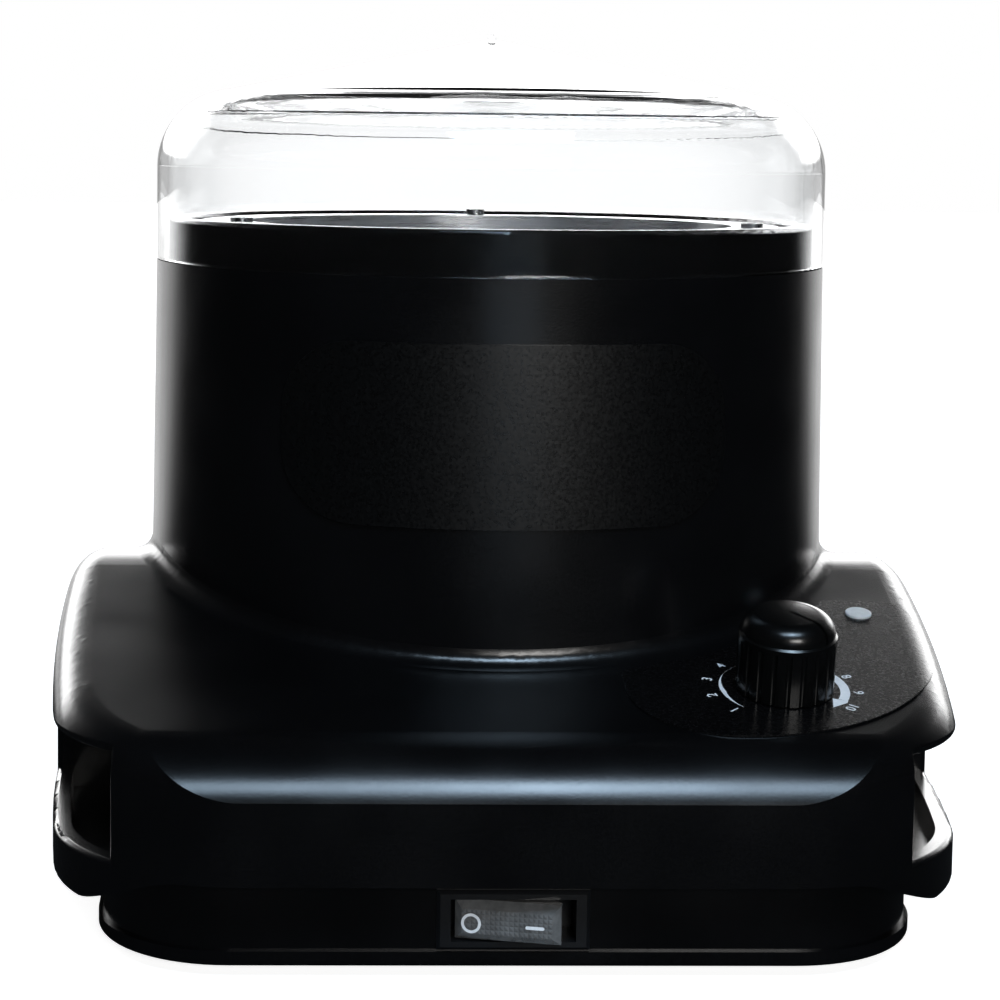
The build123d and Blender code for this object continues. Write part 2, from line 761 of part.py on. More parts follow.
foot_places = [(x, y) for x in (-FOOT_X, FOOT_X) for y in (-FOOT_Y, FOOT_Y)]

with BuildPart() as base_plate:
    add(prism(plinth_outline(-PLATE_LIP), PLATE_Z, PLATE_TOP_Z))
    fillet(base_plate.faces().sort_by(Axis.Z)[0].edges(), PLATE_EDGE_R)
    for x, y in SCREW_PLACES:
        add(
            at(rod(SCREW_HEAD_R + SCREW_HEAD_GAP, 0, PLATE_Z + SCREW_HEAD_T), x, y),
            mode=Mode.SUBTRACT,
        )
        add(at(rod(SCREW_R, 0, FAR), x, y), mode=Mode.SUBTRACT)
    for x, y in foot_places:
        add(at(rod(FOOT_PEG_R, 0, FAR), x, y), mode=Mode.SUBTRACT)
    with BuildSketch(Plane.XY.offset(PLATE_Z)):
        with GridLocations(0, VENT_PITCH, 1, VENT_COUNT):
            SlotOverall(VENT_LENGTH, VENT_WIDTH)
    extrude(amount=PLATE_T, mode=Mode.SUBTRACT)
save(base_plate, "base_plate")

with BuildPart() as foot_blank:
    add(rod(FOOT_R, 0, PLATE_Z))
    fillet(foot_blank.faces().sort_by(Axis.Z)[0].edges(), FOOT_EDGE_R)
    add(rod(FOOT_PEG_R, PLATE_Z, PLATE_TOP_Z))

with BuildPart() as rubber_feet:
    for x, y in foot_places:
        add(at(foot_blank.part, x, y))
save(rubber_feet, "rubber_feet")

with BuildPart() as base_screws:
    for x, y in SCREW_PLACES:
        head_top = PLATE_Z + SCREW_HEAD_T
        add(at(rod(SCREW_HEAD_R, PLATE_Z, head_top), x, y))
        add(at(rod(SCREW_R, head_top, head_top + SCREW_LENGTH), x, y))
        add(at(cross(PLATE_Z, PLATE_Z + RECESS_DEPTH), x, y), mode=Mode.SUBTRACT)
save(base_screws, "base_screws")

# ------------------------------------------------------------------ skin trims
with BuildPart() as control_label:
    add(base_body(-LABEL_T, SKIRT_Z, EDGE_R + LABEL_T))
    add(housing_outer, mode=Mode.SUBTRACT)
    with BuildSketch() as label_face:
        with BuildLine():
            label_left_y = DRUM_Y - (LABEL_INNER_R**2 - LABEL_LEFT_X**2) ** 0.5
            label_rear_x = (LABEL_INNER_R**2 - (LABEL_REAR_Y - DRUM_Y) ** 2) ** 0.5
            arc_mid = Vector(label_rear_x + LABEL_LEFT_X, LABEL_REAR_Y + label_left_y - 2 * DRUM_Y)
            arc_mid = arc_mid.normalized() * LABEL_INNER_R
            Polyline(
                (LABEL_LEFT_X, label_left_y),
                (LABEL_LEFT_X, LABEL_FRONT_Y),
                (LABEL_RIGHT_X, LABEL_FRONT_Y),
                (LABEL_RIGHT_X, LABEL_REAR_Y),
                (label_rear_x, LABEL_REAR_Y),
            )
            ThreePointArc(
                (label_rear_x, LABEL_REAR_Y),
                (arc_mid.X, DRUM_Y + arc_mid.Y),
                (LABEL_LEFT_X, label_left_y),
            )
        make_face()
        left_r = min(LABEL_FRONT_LEFT_R, label_left_y - LABEL_FRONT_Y - 2 * LABEL_TIP_R)
        corners = (
            (LABEL_RIGHT_X, LABEL_FRONT_Y, LABEL_FRONT_RIGHT_R),
            (LABEL_LEFT_X, LABEL_FRONT_Y, left_r),
            (LABEL_RIGHT_X, LABEL_REAR_Y, LABEL_REAR_RIGHT_R),
            (LABEL_LEFT_X, label_left_y, LABEL_TIP_R),
            (label_rear_x, LABEL_REAR_Y, LABEL_TIP_R),
        )
        for x, y, radius in corners:
            fillet(label_face.vertices().sort_by_distance((x, y, 0))[0], radius)
    extrude(amount=FAR, mode=Mode.INTERSECT)
    add(rod(KNOB_HOLLOW_R, -WALL, WALL).moved(DIAL.location), mode=Mode.SUBTRACT)
    add(rod(LENS_R + LENS_GAP, -WALL, WALL).moved(LAMP.location), mode=Mode.SUBTRACT)
save(control_label, "control_label")

with BuildPart() as front_plaque:
    add(drum_body(PLAQUE_T, RIDGE_Z + DRUM_FILLET_R, DRUM_LEDGE_Z))
    add(drum_outer, mode=Mode.SUBTRACT)
    with BuildSketch(Plane.XZ):
        with Locations((0, PLAQUE_Z)):
            RectangleRounded(2 * PLAQUE_HALF_WIDTH, PLAQUE_HEIGHT, PLAQUE_CORNER_R)
    extrude(amount=FAR, mode=Mode.INTERSECT)
save(front_plaque, "front_plaque")

# ------------------------------------------------- heating well and its heater
# The wall with its flange is one turned piece, which stands on the floor disc.
with BuildPart() as well_floor:
    add(on_drum(rod(WELL_OUTER_R, WELL_FLOOR_Z, WELL_FLOOR_TOP_Z)))
    fillet(well_floor.faces().sort_by(Axis.Z)[0].edges(), WELL_FLOOR_EDGE_R)
save(well_floor, "well_floor")

with BuildPart() as heating_well:
    add(on_drum(ring(WELL_R, WELL_OUTER_R, WELL_FLOOR_TOP_Z, FLANGE_TOP_Z)))
    add(on_drum(ring(WELL_R, WELL_FLANGE_R, FLANGE_Z, FLANGE_TOP_Z)))
    for angle in well_screw_angles:
        add(
            on_drum(rod(WELL_SCREW_R, FLANGE_Z - WALL, FAR), WELL_SCREW_PITCH_R, angle),
            mode=Mode.SUBTRACT,
        )
save(heating_well, "heating_well")

with BuildPart() as well_gasket:
    add(on_drum(ring(WELL_HOLE_R, WELL_FLANGE_R, DRUM_TOP_Z, FLANGE_Z)))
    for angle in well_screw_angles:
        add(on_drum(rod(WELL_SCREW_R, 0, FAR), WELL_SCREW_PITCH_R, angle), mode=Mode.SUBTRACT)
save(well_gasket, "well_gasket")

with BuildPart() as well_screws:
    for angle in well_screw_angles:
        screw = turned(
            (0, FLANGE_TOP_Z - WELL_SCREW_LENGTH),
            (WELL_SCREW_R, FLANGE_TOP_Z - WELL_SCREW_LENGTH),
            (WELL_SCREW_R, FLANGE_TOP_Z),
            (WELL_SCREW_HEAD_R, FLANGE_TOP_Z),
            (WELL_SCREW_HEAD_R, FLANGE_TOP_Z + WELL_SCREW_HEAD_T),
            (0, FLANGE_TOP_Z + WELL_SCREW_HEAD_T),
        )
        add(on_drum(screw, WELL_SCREW_PITCH_R, angle))
        recess = cross(FLANGE_TOP_Z + WELL_SCREW_HEAD_T - RECESS_DEPTH, FAR)
        add(on_drum(recess, WELL_SCREW_PITCH_R, angle), mode=Mode.SUBTRACT)
save(well_screws, "well_screws")

BAND_OUTER_R = WELL_OUTER_R + BAND_T
band_mid_z = (BAND_Z0 + BAND_Z1) / 2
lug_y0 = DRUM_Y + WELL_OUTER_R + BAND_T / 2
lug_y1 = DRUM_Y + BAND_OUTER_R + LUG_LENGTH
clamp_y = DRUM_Y + BAND_OUTER_R + LUG_LENGTH / 2
lug_outer_x = LUG_SPACING / 2 + LUG_T

with BuildPart() as band_heater:
    add(on_drum(ring(WELL_OUTER_R, BAND_OUTER_R, BAND_Z0, BAND_Z1)))
    add(
        block(-LUG_SPACING / 2, LUG_SPACING / 2, DRUM_Y, FAR, 0, FAR),
        mode=Mode.SUBTRACT,
    )
    for x0, x1 in ((-lug_outer_x, -LUG_SPACING / 2), (LUG_SPACING / 2, lug_outer_x)):
        half = LUG_HEIGHT / 2
        add(block(x0, x1, lug_y0, lug_y1, band_mid_z - half, band_mid_z + half))
    add(along_x(rod(CLAMP_SCREW_R, -FAR, FAR), 0, clamp_y, band_mid_z), mode=Mode.SUBTRACT)
save(band_heater, "band_heater")

with BuildPart() as clamp_screw:
    screw_end = -lug_outer_x - CLAMP_NUT_T
    shank = rod(CLAMP_SCREW_R, screw_end, lug_outer_x)
    add(along_x(shank, 0, clamp_y, band_mid_z))
    head = rod(CLAMP_HEAD_R, lug_outer_x, lug_outer_x + CLAMP_HEAD_T)
    add(along_x(head, 0, clamp_y, band_mid_z))
save(clamp_screw, "clamp_screw")

with BuildPart() as clamp_nut:
    nut = hexagon(CLAMP_NUT_FLATS, -lug_outer_x - CLAMP_NUT_T, -lug_outer_x)
    add(along_x(nut, 0, clamp_y, band_mid_z))
    add(along_x(rod(CLAMP_SCREW_R, -FAR, FAR), 0, clamp_y, band_mid_z), mode=Mode.SUBTRACT)
save(clamp_nut, "clamp_nut")

with BuildPart() as insulation_sleeve:
    inner_r = BAND_OUTER_R + INSULATION_GAP
    add(on_drum(ring(inner_r, inner_r + INSULATION_T, INSULATION_Z0, INSULATION_Z1)))
    half = INSULATION_SLOT_ANGLE / 2
    with BuildSketch(Plane.XY):
        with BuildLine():
            Polyline(
                (0, DRUM_Y),
                (FAR * sin(radians(half)), DRUM_Y + FAR * cos(radians(half))),
                (-FAR * sin(radians(half)), DRUM_Y + FAR * cos(radians(half))),
                close=True,
            )
        make_face()
    extrude(amount=FAR, mode=Mode.SUBTRACT)
save(insulation_sleeve, "insulation_sleeve")

# ----------------------------------------------------------- under the well
fuse_y = DRUM_Y + FUSE_OFFSET
bulb_y = DRUM_Y + BULB_OFFSET

with BuildPart() as thermal_fuse:
    add(along_x(rod(FUSE_R, -FUSE_LENGTH / 2, FUSE_LENGTH / 2), 0, fuse_y, WELL_FLOOR_Z - FUSE_R))
save(thermal_fuse, "thermal_fuse")

with BuildPart() as fuse_clip:
    add(strap(FUSE_R, fuse_y))
save(fuse_clip, "fuse_clip")

with BuildPart() as bulb_clip:
    add(strap(BULB_R, bulb_y))
save(bulb_clip, "bulb_clip")

capillary_port = Vector(
    *DIAL.from_local_coords(
        (-CAPILLARY_INSET, THERMOSTAT_WIDTH / 2, -WALL - THERMOSTAT_DEPTH / 2)
    )
)
bulb_end = Vector(BULB_LENGTH / 2, bulb_y, WELL_FLOOR_Z - BULB_R)

with BuildPart() as sensing_bulb:
    bulb = rod(BULB_R, -BULB_LENGTH / 2, BULB_LENGTH / 2)
    add(along_x(bulb, 0, bulb_y, WELL_FLOOR_Z - BULB_R))
    with BuildLine() as capillary:
        FilletPolyline(
            bulb_end - Vector(BULB_R, 0, 0),
            bulb_end + Vector(CAPILLARY_REACH, 0, 0),
            capillary_port + DIAL.y_dir * CAPILLARY_FALL,
            capillary_port,
            radius=CAPILLARY_BENDS,
        )
    with BuildSketch(Plane(origin=capillary.line @ 0, z_dir=capillary.line % 0)):
        Circle(CAPILLARY_R)
    sweep(path=capillary.line)
save(sensing_bulb, "sensing_bulb")

with BuildPart() as earth_stud:
    stud = rod(EARTH_R, WELL_FLOOR_Z - EARTH_LENGTH, WELL_FLOOR_Z)
    add(at(stud, EARTH_X, DRUM_Y + EARTH_OFFSET))
save(earth_stud, "earth_stud")

with BuildPart() as earth_nut:
    nut = hexagon(EARTH_NUT_FLATS, WELL_FLOOR_Z - EARTH_NUT_T, WELL_FLOOR_Z)
    add(at(nut, EARTH_X, DRUM_Y + EARTH_OFFSET))
    add(at(rod(EARTH_R, 0, FAR), EARTH_X, DRUM_Y + EARTH_OFFSET), mode=Mode.SUBTRACT)
save(earth_nut, "earth_nut")

# ----------------------------------------------------- thermostat and its knob
# Built about the dial's own upright axis, then laid on the deck.
shaft_foot = -WALL - SHAFT_DEPTH_IN_BODY
knob_roof = LABEL_T + KNOB_FLOOR_GAP + KNOB_HOLLOW_DEPTH
shaft_top = knob_roof + SHAFT_DEPTH_IN_KNOB

with BuildPart() as thermostat_blank:
    with Locations((0, 0, -WALL - THERMOSTAT_DEPTH / 2)):
        Box(THERMOSTAT_LENGTH, THERMOSTAT_WIDTH, THERMOSTAT_DEPTH)
    fillet(thermostat_blank.edges().filter_by(Axis.Z), THERMOSTAT_EDGE_R)
    add(rod(BUSHING_R, -WALL, BUSHING_RISE))
    add(rod(SHAFT_R + SHAFT_RUNNING_GAP, shaft_foot, FAR), mode=Mode.SUBTRACT)

with BuildPart() as thermostat_body:
    add(thermostat_blank.part.moved(DIAL.location))
save(thermostat_body, "thermostat_body")

with BuildPart() as blade_blank:
    blade_top = -WALL - THERMOSTAT_DEPTH
    for x in (-BLADE_SPACING / 2, BLADE_SPACING / 2):
        with Locations((x, 0, blade_top - BLADE_LENGTH / 2)):
            Box(BLADE_T, BLADE_WIDTH, BLADE_LENGTH)

with BuildPart() as thermostat_blades:
    add(blade_blank.part.moved(DIAL.location))
save(thermostat_blades, "thermostat_blades")

with BuildPart() as thermostat_nut:
    add(hexagon(NUT_FLATS, 0, NUT_T).moved(DIAL.location))
    add(rod(BUSHING_R, -WALL, FAR).moved(DIAL.location), mode=Mode.SUBTRACT)
save(thermostat_nut, "thermostat_nut")

with BuildPart() as shaft_blank:
    add(rod(SHAFT_R, shaft_foot + SHAFT_RUNNING_GAP, shaft_top))
    add(
        block(-FAR, FAR, SHAFT_FLAT, FAR, knob_roof, FAR),
        mode=Mode.SUBTRACT,
    )

with BuildPart() as thermostat_shaft:
    add(shaft_blank.part.rotate(Axis.Z, POINTER_ANGLE).moved(DIAL.location))
save(thermostat_shaft, "thermostat_shaft")

with BuildPart() as knob_blank:
    knob_floor = LABEL_T + KNOB_FLOOR_GAP
    crown_r = KNOB_R - KNOB_CROWN_STEP
    crown_top = KNOB_SKIRT_TOP + KNOB_CROWN_R
    with BuildSketch(Plane.XZ):
        with BuildLine():
            flat_r = crown_r - KNOB_CROWN_R
            bend = KNOB_CROWN_R * sin(radians(45))
            Polyline(
                (0, knob_floor),
                (KNOB_R, knob_floor),
                (KNOB_R, KNOB_SKIRT_TOP - KNOB_CROWN_STEP),
                (crown_r, KNOB_SKIRT_TOP),
            )
            ThreePointArc(
                (crown_r, KNOB_SKIRT_TOP),
                (flat_r + bend, KNOB_SKIRT_TOP + bend),
                (flat_r, crown_top),
            )
            ThreePointArc(
                (flat_r, crown_top),
                (flat_r / 2, crown_top + KNOB_DOME * 3 / 4),
                (0, crown_top + KNOB_DOME),
            )
            Line((0, crown_top + KNOB_DOME), (0, knob_floor))
        make_face()
    revolve(axis=Axis.Z)
    add(rod(KNOB_HOLLOW_R, 0, knob_roof), mode=Mode.SUBTRACT)
    add(shaft_blank.part, mode=Mode.SUBTRACT)
    with PolarLocations(KNOB_R + KNOB_FLUTE_R / 2, KNOB_FLUTES):
        Cylinder(
            KNOB_FLUTE_R,
            KNOB_FLUTE_TOP,
            align=(Align.CENTER, Align.CENTER, Align.MIN),
            mode=Mode.SUBTRACT,
        )
    with BuildPart(mode=Mode.SUBTRACT):
        with BuildSketch(Plane.XZ):
            with BuildLine():
                depth = POINTER_DEPTH
                low = bend - depth * sin(radians(45))
                Polyline(
                    (0, crown_top + KNOB_DOME - depth),
                    (flat_r, crown_top - depth),
                )
                ThreePointArc(
                    (flat_r, crown_top - depth),
                    (flat_r + low, KNOB_SKIRT_TOP + low),
                    (crown_r - depth, KNOB_SKIRT_TOP),
                )
                Polyline(
                    (crown_r - depth, KNOB_SKIRT_TOP),
                    (KNOB_R, KNOB_SKIRT_TOP),
                    (KNOB_R, crown_top + KNOB_DOME),
                    (0, crown_top + KNOB_DOME),
                    (0, crown_top + KNOB_DOME - depth),
                )
            make_face()
        extrude(amount=POINTER_WIDTH / 2, both=True)

with BuildPart() as thermostat_knob:
    add(knob_blank.part.rotate(Axis.Z, POINTER_ANGLE).moved(DIAL.location))
save(thermostat_knob, "thermostat_knob")

# ------------------------------------------------------------------- indicator
with BuildPart() as lens_blank:
    add(rod(LENS_R, 0, LENS_RISE))
    fillet(lens_blank.faces().sort_by(Axis.Z)[-1].edges(), LENS_EDGE_R)
    add(rod(LENS_STEM_R, -WALL, 0))

with BuildPart() as indicator_lens:
    add(lens_blank.part.moved(LAMP.location))
save(indicator_lens, "indicator_lens")

with BuildPart() as indicator_lamp:
    add(rod(LAMP_R, -WALL - LAMP_LENGTH, -WALL).moved(LAMP.location))
save(indicator_lamp, "indicator_lamp")

# ---------------------------------------------------------------- rocker switch
pivot_y = BEZEL_Y + ROCKER_PIVOT_DEPTH
body_back_y = -PLINTH_HALF_DEPTH + SWITCH_BODY_DEPTH
pin_half = OPENING_HEIGHT / 2 + PIVOT_ENGAGEMENT

with BuildPart() as switch_frame:
    with Locations((0, BEZEL_Y + BEZEL_T / 2, SWITCH_Z)):
        Box(BEZEL_WIDTH, BEZEL_T, BEZEL_HEIGHT)
    chamfer(switch_frame.faces().sort_by(Axis.Y)[0].edges(), BEZEL_CORNER_R)
    half_x, low_z = SWITCH_BODY_WIDTH / 2, SWITCH_Z - SWITCH_BODY_HEIGHT / 2
    high_z = low_z + SWITCH_BODY_HEIGHT
    add(block(-half_x, half_x, -PLINTH_HALF_DEPTH, body_back_y, low_z, high_z))
    half_x, low_z = OPENING_WIDTH / 2, SWITCH_Z - OPENING_HEIGHT / 2
    high_z = low_z + OPENING_HEIGHT
    add(
        block(-half_x, half_x, -FAR, BEZEL_Y + OPENING_DEPTH, low_z, high_z),
        mode=Mode.SUBTRACT,
    )
    pocket_half = pin_half + PIVOT_GAP
    add(
        at(rod(PIVOT_R + PIVOT_GAP, -pocket_half, pocket_half), 0, pivot_y, SWITCH_Z),
        mode=Mode.SUBTRACT,
    )
save(switch_frame, "switch_frame")

with BuildPart() as rocker_blank:
    with BuildSketch(Plane.XY.offset(-ROCKER_HEIGHT / 2)):
        with BuildLine():
            Polyline(
                (-ROCKER_WIDTH / 2, -ROCKER_REACH),
                (ROCKER_WIDTH / 2, -ROCKER_REACH),
                (ROCKER_WIDTH / 2, ROCKER_END_T - ROCKER_REACH),
                (ROCKER_BACK_HALF, ROCKER_BACK_REACH),
                (-ROCKER_BACK_HALF, ROCKER_BACK_REACH),
                (-ROCKER_WIDTH / 2, ROCKER_END_T - ROCKER_REACH),
                close=True,
            )
        make_face()
    extrude(amount=ROCKER_HEIGHT)
    chamfer(rocker_blank.faces().sort_by(Axis.Y)[0].edges(), ROCKER_BEVEL)
    add(rod(PIVOT_R, -pin_half, pin_half))

with BuildPart() as switch_rocker:
    rest = Location((0, pivot_y, SWITCH_Z), (0, 0, -ROCKER_REST_TILT))
    add(rocker_blank.part.moved(rest))
save(switch_rocker, "switch_rocker")

with BuildPart() as switch_terminals:
    with Locations((0, body_back_y + TAB_LENGTH / 2, SWITCH_Z)):
        with GridLocations(TAB_PITCH, 0, TAB_COUNT, 1):
            Box(TAB_T, TAB_LENGTH, TAB_WIDTH)
save(switch_terminals, "switch_terminals")

# ----------------------------------------------------------------- mains parts
gland_y = PLINTH_HALF_DEPTH
gland_tail_y = gland_y - PLINTH_WALL - GLAND_TAIL
block_y = gland_tail_y - BLOCK_GLAND_GAP - BLOCK_WIDTH / 2
nut_y = gland_y - PLINTH_WALL - GLAND_NUT_T

with BuildPart() as cable_gland:
    add(facing(hexagon(GLAND_HEX, 0, GLAND_HEX_T), 0, gland_y, GLAND_Z))
    add(facing(rod(GLAND_NOSE_R, GLAND_HEX_T, GLAND_HEX_T + GLAND_NOSE), 0, gland_y, GLAND_Z))
    add(facing(rod(GLAND_R, gland_tail_y - gland_y, 0), 0, gland_y, GLAND_Z))
    add(facing(rod(GLAND_BORE_R, -FAR, FAR), 0, gland_y, GLAND_Z), mode=Mode.SUBTRACT)
save(cable_gland, "cable_gland")

with BuildPart() as gland_nut:
    add(facing(hexagon(GLAND_HEX, 0, GLAND_NUT_T), 0, nut_y, GLAND_Z))
    add(facing(rod(GLAND_R, -FAR, FAR), 0, gland_y, GLAND_Z), mode=Mode.SUBTRACT)
save(gland_nut, "gland_nut")

pole_pitch = BLOCK_LENGTH / BLOCK_POLES
block_top_z = PLATE_TOP_Z + BLOCK_HEIGHT

with BuildPart() as terminal_block:
    with Locations((0, block_y, PLATE_TOP_Z + BLOCK_HEIGHT / 2)):
        Box(BLOCK_LENGTH, BLOCK_WIDTH, BLOCK_HEIGHT)
    fillet(terminal_block.edges().filter_by(Axis.Z), BLOCK_EDGE_R)
    for i in range(BLOCK_POLES):
        x = (i + 0.5) * pole_pitch - BLOCK_LENGTH / 2
        wire_z = PLATE_TOP_Z + (BLOCK_HEIGHT - BLOCK_SCREW_LENGTH) / 2
        add(facing(rod(BLOCK_BORE_R, -FAR, FAR), x, block_y, wire_z), mode=Mode.SUBTRACT)
        add(
            at(rod(BLOCK_SCREW_R, block_top_z - BLOCK_SCREW_LENGTH, FAR), x, block_y),
            mode=Mode.SUBTRACT,
        )
save(terminal_block, "terminal_block")

with BuildPart() as terminal_screws:
    for i in range(BLOCK_POLES):
        x = (i + 0.5) * pole_pitch - BLOCK_LENGTH / 2
        add(at(rod(BLOCK_SCREW_R, block_top_z - BLOCK_SCREW_LENGTH, block_top_z), x, block_y))
save(terminal_screws, "terminal_screws")

# -------------------------------------------------------------- cartridge rack
slot_reach = ((RACK_R - SLOT_EDGE) ** 2 - (SLOT_LENGTH / 2) ** 2) ** 0.5 - SLOT_WIDTH / 2
slot_count = 1 + 2 * int(slot_reach / SLOT_PITCH)  # as many as the rack has room for

with BuildPart() as rack_knob:
    add(rod(RACK_KNOB_R, RACK_TOP_Z, RACK_TOP_Z + RACK_KNOB_HEIGHT))
    fillet(rack_knob.faces().sort_by(Axis.Z)[-1].edges(), RACK_KNOB_EDGE_R)

with BuildPart() as rack_blank:
    add(rod(RACK_R, RACK_TOP_Z - RACK_T, RACK_TOP_Z))
    with BuildSketch(Plane.XY.offset(RACK_TOP_Z - RACK_T)):
        with GridLocations(SLOT_PITCH, 0, slot_count, 1):
            RectangleRounded(SLOT_WIDTH, SLOT_LENGTH, SLOT_CORNER_R)
    extrude(amount=RACK_T, mode=Mode.SUBTRACT)
    fillet(rack_blank.faces().sort_by(Axis.Z)[-1].edges(), RACK_EDGE_R)
    for x, y in ((-RACK_POST_X, 0), (RACK_POST_X, 0), (0, -RACK_POST_Y), (0, RACK_POST_Y)):
        add(at(rod(RACK_POST_R, WELL_FLOOR_TOP_Z, RACK_TOP_Z - RACK_T), x, y))
    for y in (-RACK_POST_Y, RACK_POST_Y):
        add(at(rack_knob.part, 0, y))

with BuildPart() as cartridge_rack:
    add(on_drum(rack_blank.part))
save(cartridge_rack, "cartridge_rack")
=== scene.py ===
import json
import math

import bmesh
import bpy
from mathutils import Matrix, Vector


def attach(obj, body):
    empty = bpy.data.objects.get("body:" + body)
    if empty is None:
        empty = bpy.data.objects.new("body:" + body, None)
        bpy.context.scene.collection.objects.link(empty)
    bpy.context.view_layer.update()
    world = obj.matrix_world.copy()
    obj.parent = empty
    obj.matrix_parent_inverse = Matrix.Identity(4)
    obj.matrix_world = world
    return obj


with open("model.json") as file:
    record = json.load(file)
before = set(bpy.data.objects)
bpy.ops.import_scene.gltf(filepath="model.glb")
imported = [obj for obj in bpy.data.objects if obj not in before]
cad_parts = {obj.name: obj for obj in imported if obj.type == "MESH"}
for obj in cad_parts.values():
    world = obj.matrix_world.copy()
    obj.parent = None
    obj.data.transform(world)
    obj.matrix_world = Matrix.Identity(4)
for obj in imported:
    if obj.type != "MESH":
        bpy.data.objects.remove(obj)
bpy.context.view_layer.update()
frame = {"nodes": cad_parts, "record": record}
MM = 0.001

# ------------------------------------------------------------------ node helpers


class Build:
    """A material's node tree, with short calls for the nodes used here."""

    def __init__(self, name):
        self.material = bpy.data.materials.new(name)
        self.material.use_nodes = True
        self.tree = self.material.node_tree
        self.nodes = self.tree.nodes
        self.shader = next(n for n in self.nodes if n.type == "BSDF_PRINCIPLED")
        self.output = next(n for n in self.nodes if n.type == "OUTPUT_MATERIAL")
        self.place = self.nodes.new("ShaderNodeTexCoord").outputs["Object"]

    def link(self, start, end):
        self.tree.links.new(start, end)

    def put(self, **values):
        """Sets sockets of the shader by name, with spaces for underscores."""
        for key, value in values.items():
            self.shader.inputs[key.replace("_", " ")].default_value = value

    def stretched(self, scale):
        mapping = self.nodes.new("ShaderNodeMapping")
        mapping.inputs["Scale"].default_value = scale
        self.link(self.place, mapping.inputs["Vector"])
        return mapping.outputs["Vector"]

    def noise(self, scale, detail=3.0, rough=0.5, vector=None, distortion=0.0):
        node = self.nodes.new("ShaderNodeTexNoise")
        node.inputs["Scale"].default_value = scale
        node.inputs["Detail"].default_value = detail
        node.inputs["Roughness"].default_value = rough
        node.inputs["Distortion"].default_value = distortion
        self.link(vector or self.place, node.inputs["Vector"])
        return node.outputs["Fac"]

    def cells(self, scale):
        node = self.nodes.new("ShaderNodeTexVoronoi")
        node.inputs["Scale"].default_value = scale
        self.link(self.place, node.inputs["Vector"])
        return node.outputs["Distance"]

    def span(self, value, low, high, to_low, to_high):
        """to_low below low, to_high above high, and a smooth step between them."""
        node = self.nodes.new("ShaderNodeMapRange")
        node.interpolation_type = "SMOOTHSTEP"
        limits = {"From Min": low, "From Max": high, "To Min": to_low, "To Max": to_high}
        for key, number in limits.items():
            node.inputs[key].default_value = number
        self.link(value, node.inputs["Value"])
        return node.outputs["Result"]

    def math(self, operation, a, b=None):
        """a and b are numbers or sockets."""
        node = self.nodes.new("ShaderNodeMath")
        node.operation = operation
        for socket, value in zip(node.inputs, (a, b)):
            if value is None:
                continue
            if isinstance(value, (int, float)):
                socket.default_value = value
            else:
                self.link(value, socket)
        return node.outputs["Value"]

    def blend(self, a, weight_a, b, weight_b):
        """a and b added, each with its weight."""
        first = self.math("MULTIPLY", a, weight_a)
        return self.math("ADD", first, self.math("MULTIPLY", b, weight_b))

    def colour(self, value, *stops):
        """The base colour, from a ramp of (position, colour) stops along value."""
        node = self.nodes.new("ShaderNodeValToRGB")
        ramp = node.color_ramp
        while len(ramp.elements) < len(stops):
            ramp.elements.new(0.5)
        for element, (position, colour) in zip(ramp.elements, stops):
            element.position = position
            element.color = (*colour, 1.0)
        self.link(value, node.inputs["Fac"])
        self.link(node.outputs["Color"], self.shader.inputs["Base Color"])

    def roughness(self, value, low, high, lo=0.3, hi=0.7):
        self.link(self.span(value, lo, hi, low, high), self.shader.inputs["Roughness"])

    def bump(self, value, strength, distance, under=None):
        """Relief over an earlier bump, with the distance in metres."""
        node = self.nodes.new("ShaderNodeBump")
        node.inputs["Strength"].default_value = strength
        node.inputs["Distance"].default_value = distance
        self.link(value, node.inputs["Height"])
        if under is not None:
            self.link(under, node.inputs["Normal"])
        self.link(node.outputs["Normal"], self.shader.inputs["Normal"])
        return node.outputs["Normal"]


def plastic(name, dark, light, rough, grain=2600.0, height=0.000012):
    """Moulded plastic with a fine spark-eroded grain and a slow unevenness."""
    m = Build(name)
    fine = m.noise(grain, 2.0, 0.6)
    slow = m.noise(38.0, 2.0)
    patchy = m.math("MULTIPLY", fine, m.span(slow, 0.3, 0.7, 0.85, 1.15))
    m.colour(patchy, (0.3, dark), (0.7, light))
    m.roughness(m.blend(fine, 0.35, slow, 0.65), *rough)
    under = m.bump(m.cells(grain * 0.7), 0.35, height)
    m.bump(fine, 0.5, height, under)
    m.put(IOR=1.49)
    return m.material


def film(name, dark, light, rough, grain=1500.0):
    """Printed polycarbonate film with a fine velvet texture."""
    m = Build(name)
    fine = m.noise(grain, 4.0, 0.65)
    specks = m.cells(grain * 0.8)
    speckled = m.math("MULTIPLY", fine, m.span(specks, 0.1, 0.6, 1.25, 0.75))
    m.colour(speckled, (0.35, dark), (0.68, light))
    m.roughness(fine, *rough)
    under = m.bump(specks, 0.5, 0.000014)
    m.bump(fine, 0.6, 0.000016, under)
    m.put(IOR=1.52)
    return m.material


def metal(name, low, high, rough, stretch=(40.0, 40.0, 2200.0), dirt=0.0):
    """Drawn, spun or brushed metal: fine lines along one way, and slow stains."""
    m = Build(name)
    lines = m.noise(1.0, 3.0, 0.6, m.stretched(stretch))
    slow = m.noise(55.0, 4.0, 0.55, distortion=0.4)
    m.colour(m.blend(lines, 0.5, slow, 0.5 + dirt), (0.32, low), (0.66, high))
    m.roughness(m.blend(lines, 0.6, slow, 0.4), *rough)
    m.bump(lines, 0.25, 0.00001)
    m.put(Metallic=1.0)
    return m.material


